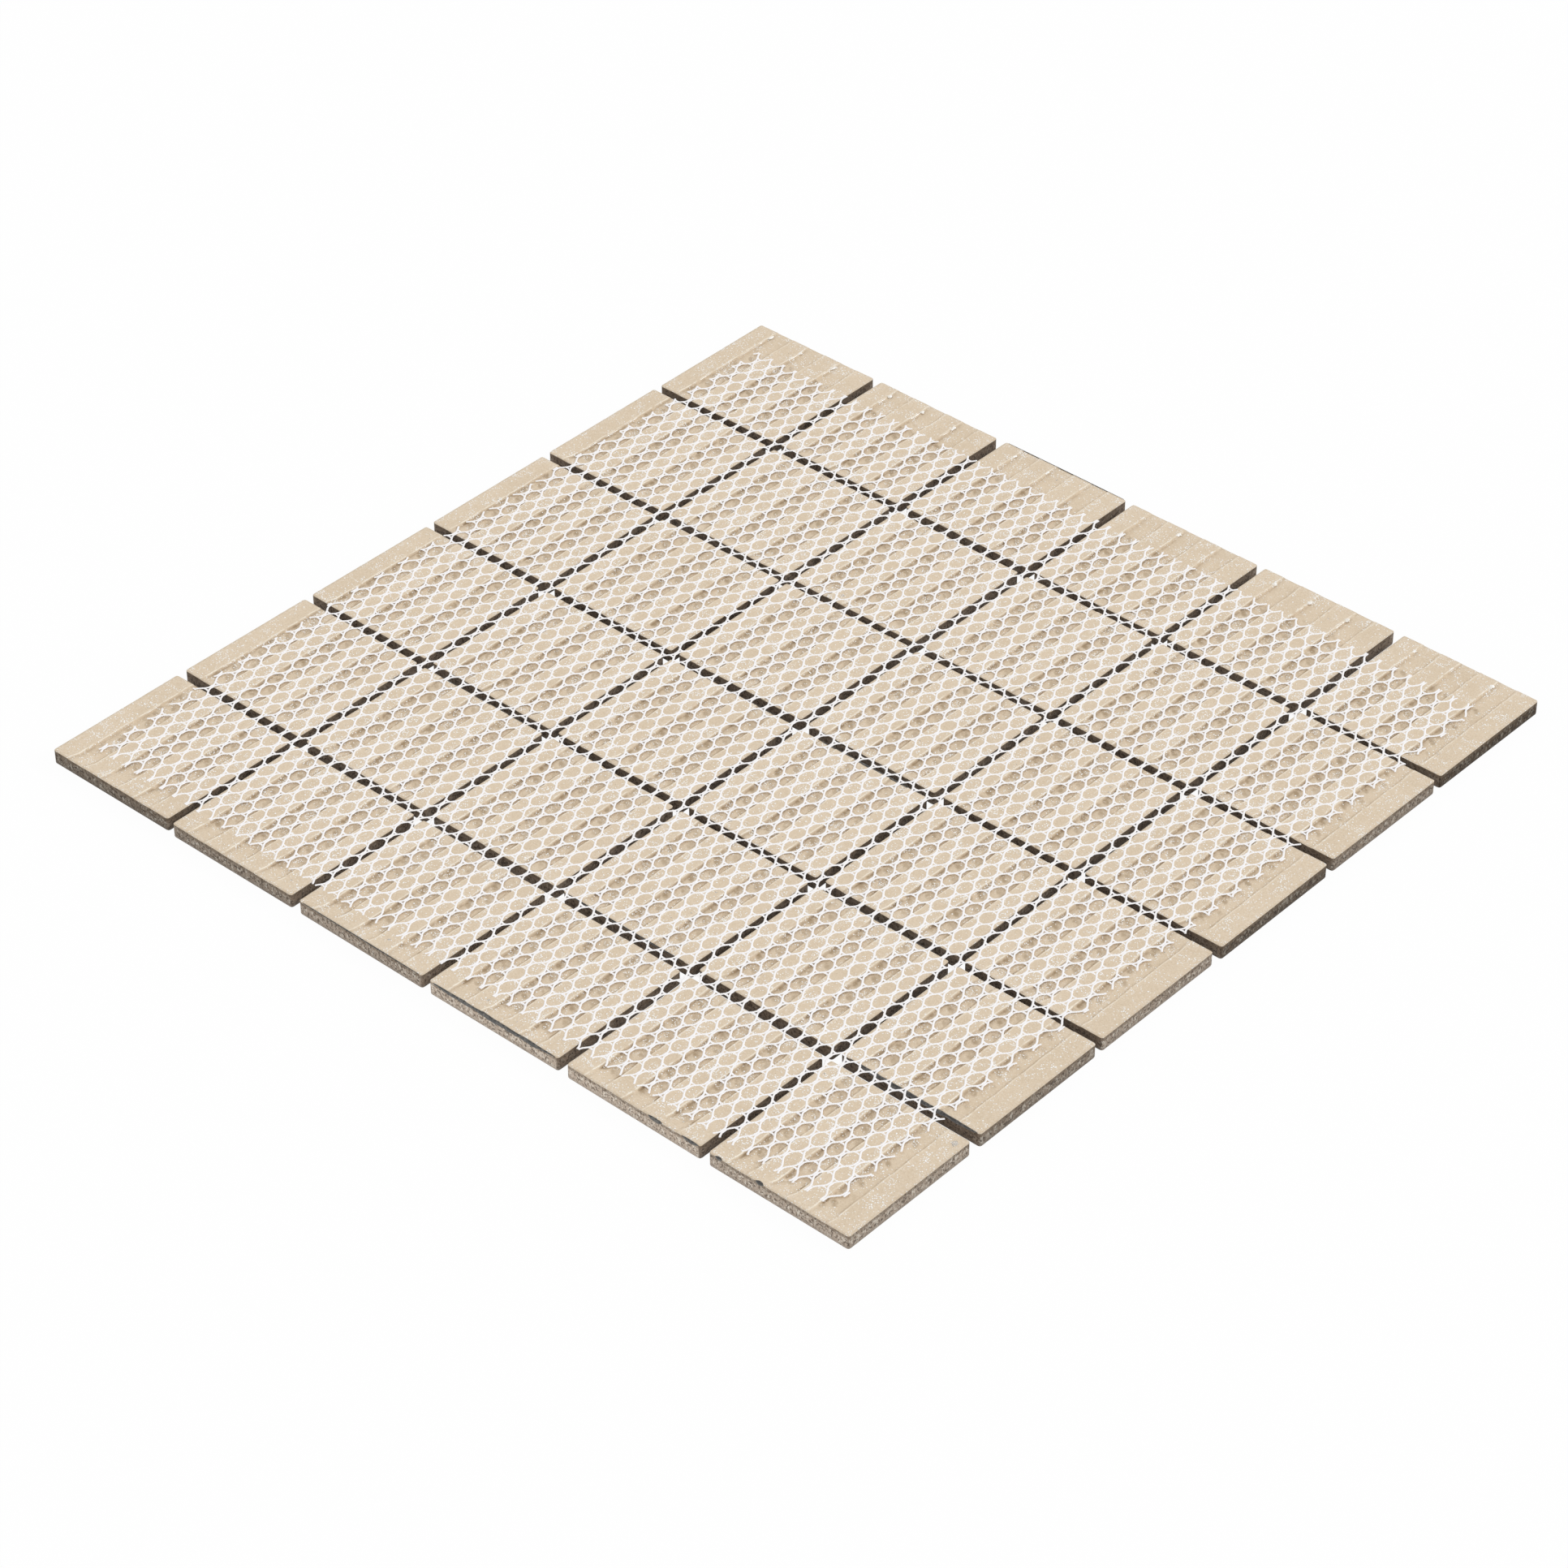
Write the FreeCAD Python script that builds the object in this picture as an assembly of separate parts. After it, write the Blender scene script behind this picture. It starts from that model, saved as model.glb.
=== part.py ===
"""Mesh-backed mosaic sheet: square porcelain tiles under one knitted net.

The sheet lies with its glazed faces down and its net on top. X and Y run along
the tile edges, Z is up, and the origin is at the middle of the sheet on the
level of the glazed faces. All sizes are in millimetres.
"""
import FreeCAD, Part
import math
import os

from FreeCAD import Vector

# Sheet: a square grid of tiles with open joints
TILES_X = 6
TILES_Y = 6
TILE_SIDE = 48.0
JOINT = 3.0

# Tile: pressed body with rounded corners and a rounded arris round the glazed face
TILE_THICKNESS = 4.6
CORNER_RADIUS = 0.8
ARRIS_RADIUS = 0.3

# Back of the tile: grooves along Y, which run out at both ends and leave a notch in the edge
GROOVES = 3
FIRST_LAND = 7.0
LAND_WIDTH = 6.75
GROOVE_WIDTH = 6.75
GROOVE_DEPTH = 0.6
GROOVE_WALL_RUN = 0.4
GROOVE_END_RUN = 6.0
GROOVE_OVERRUN = 1.0

# A groove's cutter stands this share of the depth above the back
CUTTER_RISE = 0.2

# Net: six-sided cells, legs of two threads side by side, slanted strands of one thread
NET_THICKNESS = 0.5
CELL_PITCH = 5.257
ROW_PITCH = 5.084
LEG_WIDTH = 1.15
LEG_LENGTH = 2.8
STRAND_WIDTH = 0.68

# The knit lies a little askew: its rows fall to the right and its legs lean to the right
ROW_FALL_DEG = 2.97
LEG_LEAN_DEG = 1.71

# The net is cut shorter than the sheet and lies off the middle of it
NET_MARGIN_LEFT = 8.3
NET_MARGIN_RIGHT = 10.7
NET_MARGIN_FRONT = 6.1
NET_MARGIN_BACK = 13.4
FIRST_CELL_X = -0.133
FIRST_CELL_Y = -1.078

# The net is kept as bands, each a few rows of cells high
ROWS_PER_BAND = 4

TILE_PITCH = TILE_SIDE + JOINT
SHEET_X = TILES_X * TILE_PITCH - JOINT
SHEET_Y = TILES_Y * TILE_PITCH - JOINT

NET_LEFT = -SHEET_X / 2 + NET_MARGIN_LEFT
NET_RIGHT = SHEET_X / 2 - NET_MARGIN_RIGHT
NET_FRONT = -SHEET_Y / 2 + NET_MARGIN_FRONT
NET_BACK = SHEET_Y / 2 - NET_MARGIN_BACK

ALONG_ROW = Vector(math.cos(math.radians(ROW_FALL_DEG)), -math.sin(math.radians(ROW_FALL_DEG)), 0)
ALONG_LEG = Vector(math.sin(math.radians(LEG_LEAN_DEG)), math.cos(math.radians(LEG_LEAN_DEG)), 0)
CELL_HALF_WIDTH = (CELL_PITCH - LEG_WIDTH) / 2

# An edge of the net never splits a leg lengthwise: it passes this far from a leg's middle
LEG_CLEARANCE = 0.85 * LEG_WIDTH
# Distance within which two points of an outline count as one
SAME_POINT = 1e-6
# Cells worked out past the half width of the sheet, because the rows slant
SPARE_CELLS = 2
CELLS_EACH_WAY = math.ceil(SHEET_X / 2 / CELL_PITCH) + SPARE_CELLS


def closed_wire(points):
    """Closed wire of straight edges through the points."""
    return Part.makePolygon(list(points) + [points[0]])


def polygon_face(points):
    """Flat face bounded by straight edges through the points."""
    return Part.Face(closed_wire(points))


def cutter_outline(start, share):
    """Outline of a groove at a share of its depth above its floor; share 1 is the level of the back."""
    height = TILE_THICKNESS - GROOVE_DEPTH * (1 - share)
    left = start + GROOVE_WALL_RUN * (1 - share)
    right = start + GROOVE_WIDTH - GROOVE_WALL_RUN * (1 - share)
    front = GROOVE_END_RUN * (1 - share) - GROOVE_OVERRUN
    back = TILE_SIDE - front
    return closed_wire([
        Vector(left, front, height),
        Vector(right, front, height),
        Vector(right, back, height),
        Vector(left, back, height),
    ])


def groove_cutter(start):
    """Solid that cuts the groove whose left edge is at start."""
    outlines = [cutter_outline(start, share) for share in (0, 1 + CUTTER_RISE)]
    return Part.makeLoft(outlines, True, True)


def is_corner_edge(edge):
    """True for the four upright edges at the corners of a tile."""
    low, high = (vertex.Point for vertex in edge.Vertexes)
    upright = math.hypot(high.x - low.x, high.y - low.y) < SAME_POINT
    return upright and abs(high.z - low.z) > TILE_THICKNESS - SAME_POINT


def is_face_edge(edge):
    """True for the edges that bound the glazed face."""
    return all(abs(vertex.Z) < SAME_POINT for vertex in edge.Vertexes)


def make_tile():
    """One tile with its near left corner at the origin."""
    body = Part.makeBox(TILE_SIDE, TILE_SIDE, TILE_THICKNESS)
    body = body.makeFillet(CORNER_RADIUS, [edge for edge in body.Edges if is_corner_edge(edge)])
    body = body.makeFillet(ARRIS_RADIUS, [edge for edge in body.Edges if is_face_edge(edge)])
    for groove in range(GROOVES):
        body = body.cut(groove_cutter(FIRST_LAND + groove * (GROOVE_WIDTH + LAND_WIDTH)))
    return body


def cell_centre(column, row):
    """Middle of a cell; odd rows are set half a pitch along."""
    steps = column + (row % 2) / 2
    start = Vector(FIRST_CELL_X, FIRST_CELL_Y, 0)
    return start + ALONG_ROW * (steps * CELL_PITCH) + ALONG_LEG * (row * ROW_PITCH)


def strand_angle():
    """Slope of the slanted strands that leaves them STRAND_WIDTH wide between two cells."""
    across = CELL_PITCH / 2 - 2 * CELL_HALF_WIDTH
    along = ROW_PITCH - LEG_LENGTH
    return math.acos(STRAND_WIDTH / math.hypot(across, along)) - math.atan2(-across, along)


def cell_points(centre):
    """Six corners of a cell's opening: two sides along the legs and a point at each end."""
    shoulder = LEG_LENGTH / 2
    peak = shoulder + CELL_HALF_WIDTH * math.tan(strand_angle())
    corners = [
        (-CELL_HALF_WIDTH, -shoulder),
        (0, -peak),
        (CELL_HALF_WIDTH, -shoulder),
        (CELL_HALF_WIDTH, shoulder),
        (0, peak),
        (-CELL_HALF_WIDTH, shoulder),
    ]
    return [centre + ALONG_ROW * across + ALONG_LEG * along for across, along in corners]


def rows_of_net():
    """First and last row of cells that can reach the net."""
    reach = SHEET_X / 2 * math.tan(math.radians(ROW_FALL_DEG)) + ROW_PITCH
    first = math.floor((NET_FRONT - reach) / ROW_PITCH)
    last = math.ceil((NET_BACK + reach) / ROW_PITCH)
    return first, last


def band_limits():
    """Rows at which the net is divided into bands; the outermost ones lie past its ends."""
    first, last = rows_of_net()
    front = math.ceil((NET_FRONT - FIRST_CELL_Y) / ROW_PITCH)
    back = (NET_BACK - FIRST_CELL_Y) / ROW_PITCH
    bands = round((back - front) / ROWS_PER_BAND)
    return [first] + [front + ROWS_PER_BAND * step for step in range(1, bands)] + [last]


def leg_positions(row):
    """Middles of the legs of a row that lie anywhere near the sheet."""
    columns = range(-CELLS_EACH_WAY, CELLS_EACH_WAY + 1)
    return [cell_centre(column, row) - ALONG_ROW * (CELL_PITCH / 2) for column in columns]


def cut_beside_legs(row, cut_x, inward):
    """Where the cut passes the legs of one row: at cut_x, or just beside a leg that it would split.

    inward is +1 on the left edge of the net and -1 on the right one. A leg whose
    middle is inside the cut stays whole, and any other is cut away whole.
    """
    for leg in leg_positions(row):
        inside = (leg.x - cut_x) * inward
        if 0 <= inside < LEG_CLEARANCE:
            return leg.x - inward * LEG_CLEARANCE
        if -LEG_CLEARANCE < inside < 0:
            return leg.x + inward * LEG_CLEARANCE
    return cut_x


def side_of_net(cut_x, inward):
    """One side edge of the net from front to back, with a jog round each leg it would split."""
    first, last = rows_of_net()
    points = []
    for row in range(first, last + 1):
        beside = cut_beside_legs(row, cut_x, inward)
        middle = cell_centre(0, row)
        row_y = middle.y - (cut_x - middle.x) * math.tan(math.radians(ROW_FALL_DEG))
        for y, x in (
            (row_y - LEG_LENGTH / 2, cut_x),
            (row_y - LEG_LENGTH / 2, beside),
            (row_y + LEG_LENGTH / 2, beside),
            (row_y + LEG_LENGTH / 2, cut_x),
        ):
            point = Vector(x, y, 0)
            if not points or (point - points[-1]).Length > SAME_POINT:
                points.append(point)
    return points


def net_outline():
    """Flat face of the whole net before its openings are cut."""
    left = side_of_net(NET_LEFT, 1)
    right = side_of_net(NET_RIGHT, -1)
    face = polygon_face(right + left[::-1])
    middle_x = (NET_LEFT + NET_RIGHT) / 2
    window = Part.makePlane(2 * SHEET_X, NET_BACK - NET_FRONT, Vector(middle_x - SHEET_X, NET_FRONT, 0))
    return face.common(window)


def band_region(first_row, last_row):
    """Slanting strip from the middle of the legs of one row to those of another."""
    half = Vector(SHEET_X, SHEET_X * -math.tan(math.radians(ROW_FALL_DEG)), 0)
    low = cell_centre(0, first_row)
    high = cell_centre(0, last_row)
    return polygon_face([low - half, low + half, high + half, high - half])


def is_whole(corners):
    """True for a cell whose opening stays clear of the cut edges of the net."""
    return all(
        NET_LEFT + LEG_CLEARANCE < corner.x < NET_RIGHT - LEG_CLEARANCE and NET_FRONT < corner.y < NET_BACK
        for corner in corners
    )


def reaches_net(corners):
    """True for a cell whose opening lies at least partly within the net's cut edges."""
    in_width = any(NET_LEFT - LEG_CLEARANCE < corner.x < NET_RIGHT + LEG_CLEARANCE for corner in corners)
    return in_width and any(NET_FRONT < corner.y < NET_BACK for corner in corners)


def outer_corners(shape):
    """Corners, anticlockwise, of the largest face of a cut sheet; loose scraps of thread fall away."""
    face = max(shape.Faces, key=lambda one: one.Area)
    points = [vertex.Point for vertex in face.OuterWire.OrderedVertexes]
    turning = sum(a.x * b.y - b.x * a.y for a, b in zip(points, points[1:] + points[:1]))
    return points if turning > 0 else points[::-1]


def net_band(outline, first_row, last_row):
    """Solid band of the net between the middles of two rows of legs."""
    strip = outline.common(band_region(first_row, last_row))
    openings = []
    edge_cells = []
    for row in range(first_row, last_row + 1):
        for column in range(-CELLS_EACH_WAY, CELLS_EACH_WAY + 1):
            corners = cell_points(cell_centre(column, row))
            if first_row < row < last_row and is_whole(corners):
                openings.append(closed_wire(corners[::-1]))
            elif reaches_net(corners):
                edge_cells.append(polygon_face(corners))
    rim = closed_wire(outer_corners(strip.cut(edge_cells)))
    return Part.Face([rim] + openings).extrude(Vector(0, 0, NET_THICKNESS))


def export(name, shape):
    """Write one piece to its own file."""
    shape.exportStep(os.path.join("parts", name + ".step"))


def main():
    os.makedirs("parts", exist_ok=True)

    tile = make_tile()
    for row in range(TILES_Y):
        for column in range(TILES_X):
            placed = tile.copy()
            placed.translate(Vector(column * TILE_PITCH - SHEET_X / 2, row * TILE_PITCH - SHEET_Y / 2, 0))
            export(f"tile_r{row + 1}_c{column + 1}", placed)

    outline = net_outline()
    limits = band_limits()
    for number, (first_row, last_row) in enumerate(zip(limits, limits[1:]), start=1):
        band = net_band(outline, first_row, last_row)
        band.translate(Vector(0, 0, TILE_THICKNESS))
        export(f"net_band_{number:02d}", band)
        print(f"net band {number}: {len(band.Solids)} solid, {len(band.Faces)} faces")


main()
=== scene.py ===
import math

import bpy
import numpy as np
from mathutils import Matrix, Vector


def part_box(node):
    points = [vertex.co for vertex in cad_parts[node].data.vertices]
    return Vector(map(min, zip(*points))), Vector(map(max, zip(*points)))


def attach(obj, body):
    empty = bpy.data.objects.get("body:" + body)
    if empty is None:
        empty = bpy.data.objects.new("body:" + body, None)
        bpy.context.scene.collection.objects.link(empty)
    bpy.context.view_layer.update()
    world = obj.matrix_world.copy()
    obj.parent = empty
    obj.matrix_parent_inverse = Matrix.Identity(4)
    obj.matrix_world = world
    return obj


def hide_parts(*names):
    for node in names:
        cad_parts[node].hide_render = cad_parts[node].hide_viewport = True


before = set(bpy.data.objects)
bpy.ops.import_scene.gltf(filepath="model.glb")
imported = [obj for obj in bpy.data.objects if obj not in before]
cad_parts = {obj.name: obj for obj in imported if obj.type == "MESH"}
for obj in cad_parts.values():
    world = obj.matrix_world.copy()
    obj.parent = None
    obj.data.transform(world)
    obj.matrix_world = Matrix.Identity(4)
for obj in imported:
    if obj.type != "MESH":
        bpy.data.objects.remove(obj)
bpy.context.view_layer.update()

# Mosaic tile sheet lying on its glazed faces: grooved porcelain backs, a knitted
# net glued over them, dried glue and spilt glaze. Blender works in metres; the
# shape functions below work in millimetres and hand over metres at the end.

MM = 0.001

# Sheet and net, from the frame
TILES_X = 6
TILES_Y = 6
TILE_LOW, TILE_HIGH = (np.array(corner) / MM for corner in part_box("tile_r1_c1"))
TILE_SIDE = TILE_HIGH[0] - TILE_LOW[0]
TILE_TOP = TILE_HIGH[2]
TILE_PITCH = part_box("tile_r1_c2")[0][0] / MM - TILE_LOW[0]
JOINT_WIDTH = TILE_PITCH - TILE_SIDE
SHEET_HALF = -TILE_LOW[0]
NET_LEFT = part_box("net_band_07")[0][0] / MM
NET_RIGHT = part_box("net_band_07")[1][0] / MM
NET_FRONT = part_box("net_band_01")[0][1] / MM
NET_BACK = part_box("net_band_14")[1][1] / MM

# Tile: rounded corners in plan, a rounded arris below, an eased and chipped edge above, and a rim with
# painted glints and painted shade
CORNER_RADIUS = 0.8
ARRIS_RADIUS = 0.3
BACK_EDGE_DROP = 0.08
BACK_EDGE_RUN = 0.22
CHIP_DROP = 0.08
CHIP_LENGTH = 11.0 / 3.0
RIM_REACH = 1.6
UNDER_RING_INSET = 6.0

# How far off its place a tile may lie, and how far forward the front row slipped, but for its first tile
LAY_SHIFT = 0.28
LAY_TURN_DEG = 0.3
FRONT_SLIP = 0.45

# How light the sides are fired: front row from the left, right column from the front, and the others' range
FRONT_TONES = (0.24, 0.45, 0.67, 0.97, 1.00, 0.83)
RIGHT_TONES = (0.55, 0.30, 0.47, 0.08, 0.35, 0.00)
OTHER_TONES = (0.26, 0.52)
# How brown the sides in the joints are
JOINT_BROWN = 0.7

# Grooves along the back, which run out at both ends of the tile
GROOVES = 3
FIRST_LAND = 7.0
LAND_WIDTH = 6.75
GROOVE_WIDTH = 6.75
GROOVE_PITCH = GROOVE_WIDTH + LAND_WIDTH
GROOVE_DEPTH = 0.6
WALL_RUN = 0.4
END_RUN = 7.0
END_DEPTH_SHARE = 0.2
# Depth below the lands from which a point counts as sunk in a groove
SUNK_FROM = 0.05

# Slow waves of the back, and the beads beside a groove's first and second step
BACK_WAVE = 0.02
BACK_WAVE_LENGTH = 19.0
NEAR_BEAD = 0.035
FAR_BEAD = 0.03
BEAD_REACH = 0.25

# Knitted net: its cells and rows, how they slant, and the middle of its first hole
CELL_PITCH = 5.257
ROW_PITCH = 5.084
ROW_FALL_DEG = 2.97
LEG_LEAN_DEG = 1.71
FIRST_CELL = np.array([-0.16, -0.92])
# Wales of the net, rows of legs at which its bands meet, and the stations of a thread within one row
WALES = range(-30, 31)
BAND_ROWS = (-32, -24, -20, -16, -12, -8, -4, 0, 4, 8, 12, 16, 20, 24, 30)
ROW_STATIONS = np.array([0.0, 0.17, 0.33, 0.5, 0.67, 0.83])
SHORTEST_RUN = 0.05

# Cut edges of the net: where each runs at its middle, and how far it strays by the net's ends
CUT_LEFT, LEFT_STRAY = -143.9, 2.2
CUT_RIGHT = 140.8
CUT_FRONT, FRONT_STRAY = -144.9, -1.7
CUT_BACK, BACK_STRAY = 137.4, -0.9
NET_HALF_X, NET_HALF_Y = 142.0, 145.0

# Unevenness of the net as laid: height and length of its waves sideways and along, and its draw to the joints
WAVES_ACROSS = ((0.36, 74.0), (0.20, 13.0))
WAVES_ALONG = ((0.32, 88.0), (0.18, 15.0))
JOINT_DRAW = 0.30
DRAW_REACH = 6.0

# Threads: how far beside a leg's middle, how wide, where they swell, how they cross and how they are twisted
LANE = 0.29
THREAD_HALF_WIDTH = 0.285
LEG_SWELL = 0.06
LEG_SWELL_REACH = 0.14
SLANT_SWELL = 0.03
LEG_SHARE = 0.12
THREAD_LIFT = 0.02
TWIST_PER_MM = 9.0

# Loop in a fork: its three points along and beside the leg, its section, and its least room inside the cut
LOOP_REACH = (2.18, 1.94, 2.18)
LOOP_SIDE = 0.68
LOOP_HALF_WIDTHS = (0.24, 0.31, 0.24)
LOOP_HALF_HEIGHT = 0.10
LOOP_SINK = 0.02
LOOP_ROOM = 0.2
# A thread's section, turning from the top to the left: sideways share of the half width, and height in mm
THREAD_SECTION = np.array([
    [0.0, 0.125],
    [-0.75, 0.085],
    [-1.0, -0.02],
    [0.0, -0.14],
    [1.0, -0.02],
    [0.75, 0.085],
])

# Painted shadow of the net's threads on the groove floor in each hole: its middle from the hole's, its half
# lengths and its slant
SPOT_MIDDLE = (-0.05, 0.9)
SPOT_REACH = (1.9, 1.15)
SPOT_SLANT = math.radians(40.0)
# How far past the net's cut the painted net shadow reaches, and over what length it fades
NET_SHADE_MARGIN = 2.2
NET_SHADE_FADE = 1.5

# Dark glaze on the edges: row, column, front (0) or back (1) edge, start and stop along it, reach in and down
GLAZE_RUNS = (
    (6, 3, 1, 1.0, 47.0, 0.05, 0.3),
    (3, 3, 1, 21.5, 47.5, 0.15, 0.5),
    (3, 4, 1, 8.0, 46.5, 0.5, 1.2),
    (2, 2, 1, 1.0, 47.5, 0.10, 0.4),
    (2, 4, 0, 1.5, 45.5, 0.08, 0.4),
    (2, 5, 1, 1.5, 46.5, 0.15, 0.5),
    (2, 6, 0, 3.0, 47.0, 0.4, 1.4),
    (1, 3, 0, 1.5, 47.0, 0.05, 0.3),
    (1, 4, 0, 1.5, 47.0, 0.4, 1.1),
    (1, 5, 0, 29.5, 34.5, 0.45, 0.8),
    (1, 5, 0, 41.5, 47.5, 0.4, 0.8),
    (1, 6, 0, 2.3, 4.7, 0.5, 0.6),
    (1, 6, 0, 16.2, 19.0, 0.75, 0.8),
)

# Small specks of glue: number, how far past the net they lie, least room on a tile, least size and its spread
SPECK_COUNT = 1500
SPECKS_PAST_SIDES = 4.0
SPECKS_PAST_FRONT = 3.0
SPECKS_PAST_BACK = 9.0
SPECK_ROOM = 1.0
SPECK_SIZE = 0.10
SPECK_SPREAD = 0.28
SPECK_HEIGHT_SHARE = 0.45
# Larger flecks of glue: x, y and size
GLUE_FLECKS = np.array([
    [149.0, -107.4, 1.0],
    [-19.0, -147.0, 0.5],
    [19.0, -147.0, 0.5],
    [-17.0, -111.0, 0.6],
    [55.0, 41.0, 0.6],
    [-33.0, 56.0, 0.6],
    [-33.0, 97.0, 0.6],
    [145.0, 111.0, 0.5],
])

# Glue streaks past the back of the net, each with a blob behind it: ranges of place, length and width
STREAK_START = (37.0, 38.5)
STREAK_LENGTH = (3.0, 6.0)
STREAK_WIDTH = (0.10, 0.20)
BLOB_GAP = (4.0, 5.5)
BLOB_ASIDE = (-0.2, 0.3)
BLOB_LENGTH = (1.6, 2.6)
BLOB_WIDTH = (0.35, 0.9)
# Glue streaks along the first step of the left column: number on a tile, and ranges as above
SIDE_STREAKS = 3
SIDE_START = (6.0, 9.0)
SIDE_LENGTH = (6.0, 11.0)
SIDE_ASIDE = (-0.1, 0.2)
SIDE_WIDTH = (0.07, 0.15)
SIDE_GAP = (0.5, 2.5)

# Camera: it looks down on the sheet past its near corner
VIEW_AZIMUTH = 41.85
VIEW_ELEVATION = 37.88
VIEW_DISTANCE = 1.3566
VIEW_AIM = (0.015077, -0.024024, 0.0046)
LENS = 109.9
SENSOR_WIDTH = 36.0

# Light: strength of the sky, and each lamp's azimuth, elevation and share of the light on the sheet
SKY = 0.87
LAMPS = (("back_lamp", 138.0, 30.0, 0.11),)
LAMP_SPREAD_DEG = 14.0

# Floor: half its width in metres, its paint and how far it shows plain white
FLOOR_HALF = 3.0
FLOOR_PAINT = (0.88, 0.88, 0.88, 1.0)
FLOOR_WHITE = 0.96

RANDOM = np.random.default_rng(4836)


def smooth(t):
    """Zero below 0, one above 1 and the cubic 3t^2 - 2t^3 between."""
    t = np.clip(t, 0.0, 1.0)
    return t * t * (3.0 - 2.0 * t)


def waves(x, y, phase, length):
    """Uneven surface between about -1 and 1: three crossed sines of near lengths."""
    turn = 2.0 * math.pi / length
    return (
        np.sin(turn * x + 1.3 * phase)
        + np.sin(turn * (0.6 * x + 0.9 * y) + 2.1 * phase)
        + np.sin(turn * (1.1 * y - 0.4 * x) + 0.7 * phase)
    ) / 3.0


def bell(value, middle, reach):
    """Bell curve: one at the middle and exp(-((value - middle) / reach)^2) to both sides."""
    return np.exp(-(((value - middle) / reach) ** 2))


def averaged_draws(low, high, stations, window):
    """Random values, each the mean of as many neighbouring draws as the window holds."""
    draws = RANDOM.uniform(low, high, stations + window - 1)
    return np.convolve(draws, np.ones(window) / window, "valid")


def add_piece(name, points, groups, materials, sharp_deg=40.0, uv=None):
    """Mesh from points in mm and groups of faces, each an index array with its material number."""
    mesh = bpy.data.meshes.new(name)
    loops = np.concatenate([faces.ravel() for faces, _ in groups]).astype(np.int32)
    corners = np.concatenate([np.full(len(faces), faces.shape[1]) for faces, _ in groups]).astype(np.int32)
    slots = np.concatenate([np.full(len(faces), number) for faces, number in groups]).astype(np.int32)
    mesh.vertices.add(len(points))
    mesh.vertices.foreach_set("co", (points * MM).astype(np.float32).ravel())
    mesh.loops.add(len(loops))
    mesh.loops.foreach_set("vertex_index", loops)
    mesh.polygons.add(len(corners))
    mesh.polygons.foreach_set("loop_start", (np.cumsum(corners) - corners).astype(np.int32))
    mesh.polygons.foreach_set("material_index", slots)
    for material in materials:
        mesh.materials.append(material)
    mesh.update(calc_edges=True)
    mesh.polygons.foreach_set("use_smooth", np.ones(len(corners), dtype=bool))
    mesh.set_sharp_from_angle(angle=math.radians(sharp_deg))
    if uv is not None:
        layer = mesh.uv_layers.new(name="along")
        layer.data.foreach_set("uv", uv.astype(np.float32).ravel())
    piece = bpy.data.objects.new(name, mesh)
    bpy.context.scene.collection.objects.link(piece)
    return piece


def new_material(name, roughness, specular):
    """Material with its shader, ready for textures."""
    material = bpy.data.materials.new(name)
    material.use_nodes = True
    shader = material.node_tree.nodes["Principled BSDF"]
    shader.inputs["Roughness"].default_value = roughness
    shader.inputs["Specular IOR Level"].default_value = specular
    return material, material.node_tree, shader


def millimetres(tree):
    """Object coordinates in millimetres."""
    place = tree.nodes.new("ShaderNodeTexCoord")
    scale = tree.nodes.new("ShaderNodeMapping")
    scale.inputs["Scale"].default_value = (1.0 / MM,) * 3
    tree.links.new(place.outputs["Object"], scale.inputs["Vector"])
    return scale.outputs["Vector"]


def stretched(tree, vector, factors):
    """The same coordinates drawn out by one factor for each axis."""
    scale = tree.nodes.new("ShaderNodeMapping")
    scale.inputs["Scale"].default_value = factors
    tree.links.new(vector, scale.inputs["Vector"])
    return scale.outputs["Vector"]


def noise(tree, vector, size, detail=2.0, roughness=0.5):
    """Noise with features about size millimetres across."""
    texture = tree.nodes.new("ShaderNodeTexNoise")
    texture.inputs["Scale"].default_value = 1.0 / size
    texture.inputs["Detail"].default_value = detail
    texture.inputs["Roughness"].default_value = roughness
    tree.links.new(vector, texture.inputs["Vector"])
    return texture.outputs["Fac"]


def flecks(tree, vector, size, radius):
    """Scattered round flecks: one where a cell's own point is nearer than radius of its size."""
    cells = tree.nodes.new("ShaderNodeTexVoronoi")
    cells.inputs["Scale"].default_value = 1.0 / size
    tree.links.new(vector, cells.inputs["Vector"])
    return band(tree, cells.outputs["Distance"], radius, 0.6 * radius)


def band(tree, value, low, high):
    """A value mapped so that low becomes 0 and high becomes 1, smoothly and held there."""
    ramp = tree.nodes.new("ShaderNodeMapRange")
    ramp.interpolation_type = "SMOOTHSTEP"
    ramp.inputs["From Min"].default_value = low
    ramp.inputs["From Max"].default_value = high
    tree.links.new(value, ramp.inputs["Value"])
    return ramp.outputs["Result"]


def calc(tree, operation, *values):
    """Arithmetic on sockets and numbers."""
    step = tree.nodes.new("ShaderNodeMath")
    step.operation = operation
    for place, value in zip(step.inputs, values):
        if isinstance(value, (int, float)):
            place.default_value = value
        else:
            tree.links.new(value, place)
    return step.outputs["Value"]


def mix_inputs(tree, factor, first, second):
    """Colour mix by the sockets of the colour kind, which share their names with other kinds."""
    mix = tree.nodes.new("ShaderNodeMix")
    mix.data_type = "RGBA"
    tree.links.new(factor, mix.inputs[0])
    for place, value in ((mix.inputs[6], first), (mix.inputs[7], second)):
        if isinstance(value, tuple):
            place.default_value = (*value, 1.0)
        else:
            tree.links.new(value, place)
    return mix.outputs[2]


def tinted(tree, colour, share, strength, tint):
    """A colour taken towards a tint by a share times a strength."""
    return mix_inputs(tree, calc(tree, "MULTIPLY", share, strength), colour, tint)


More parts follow.
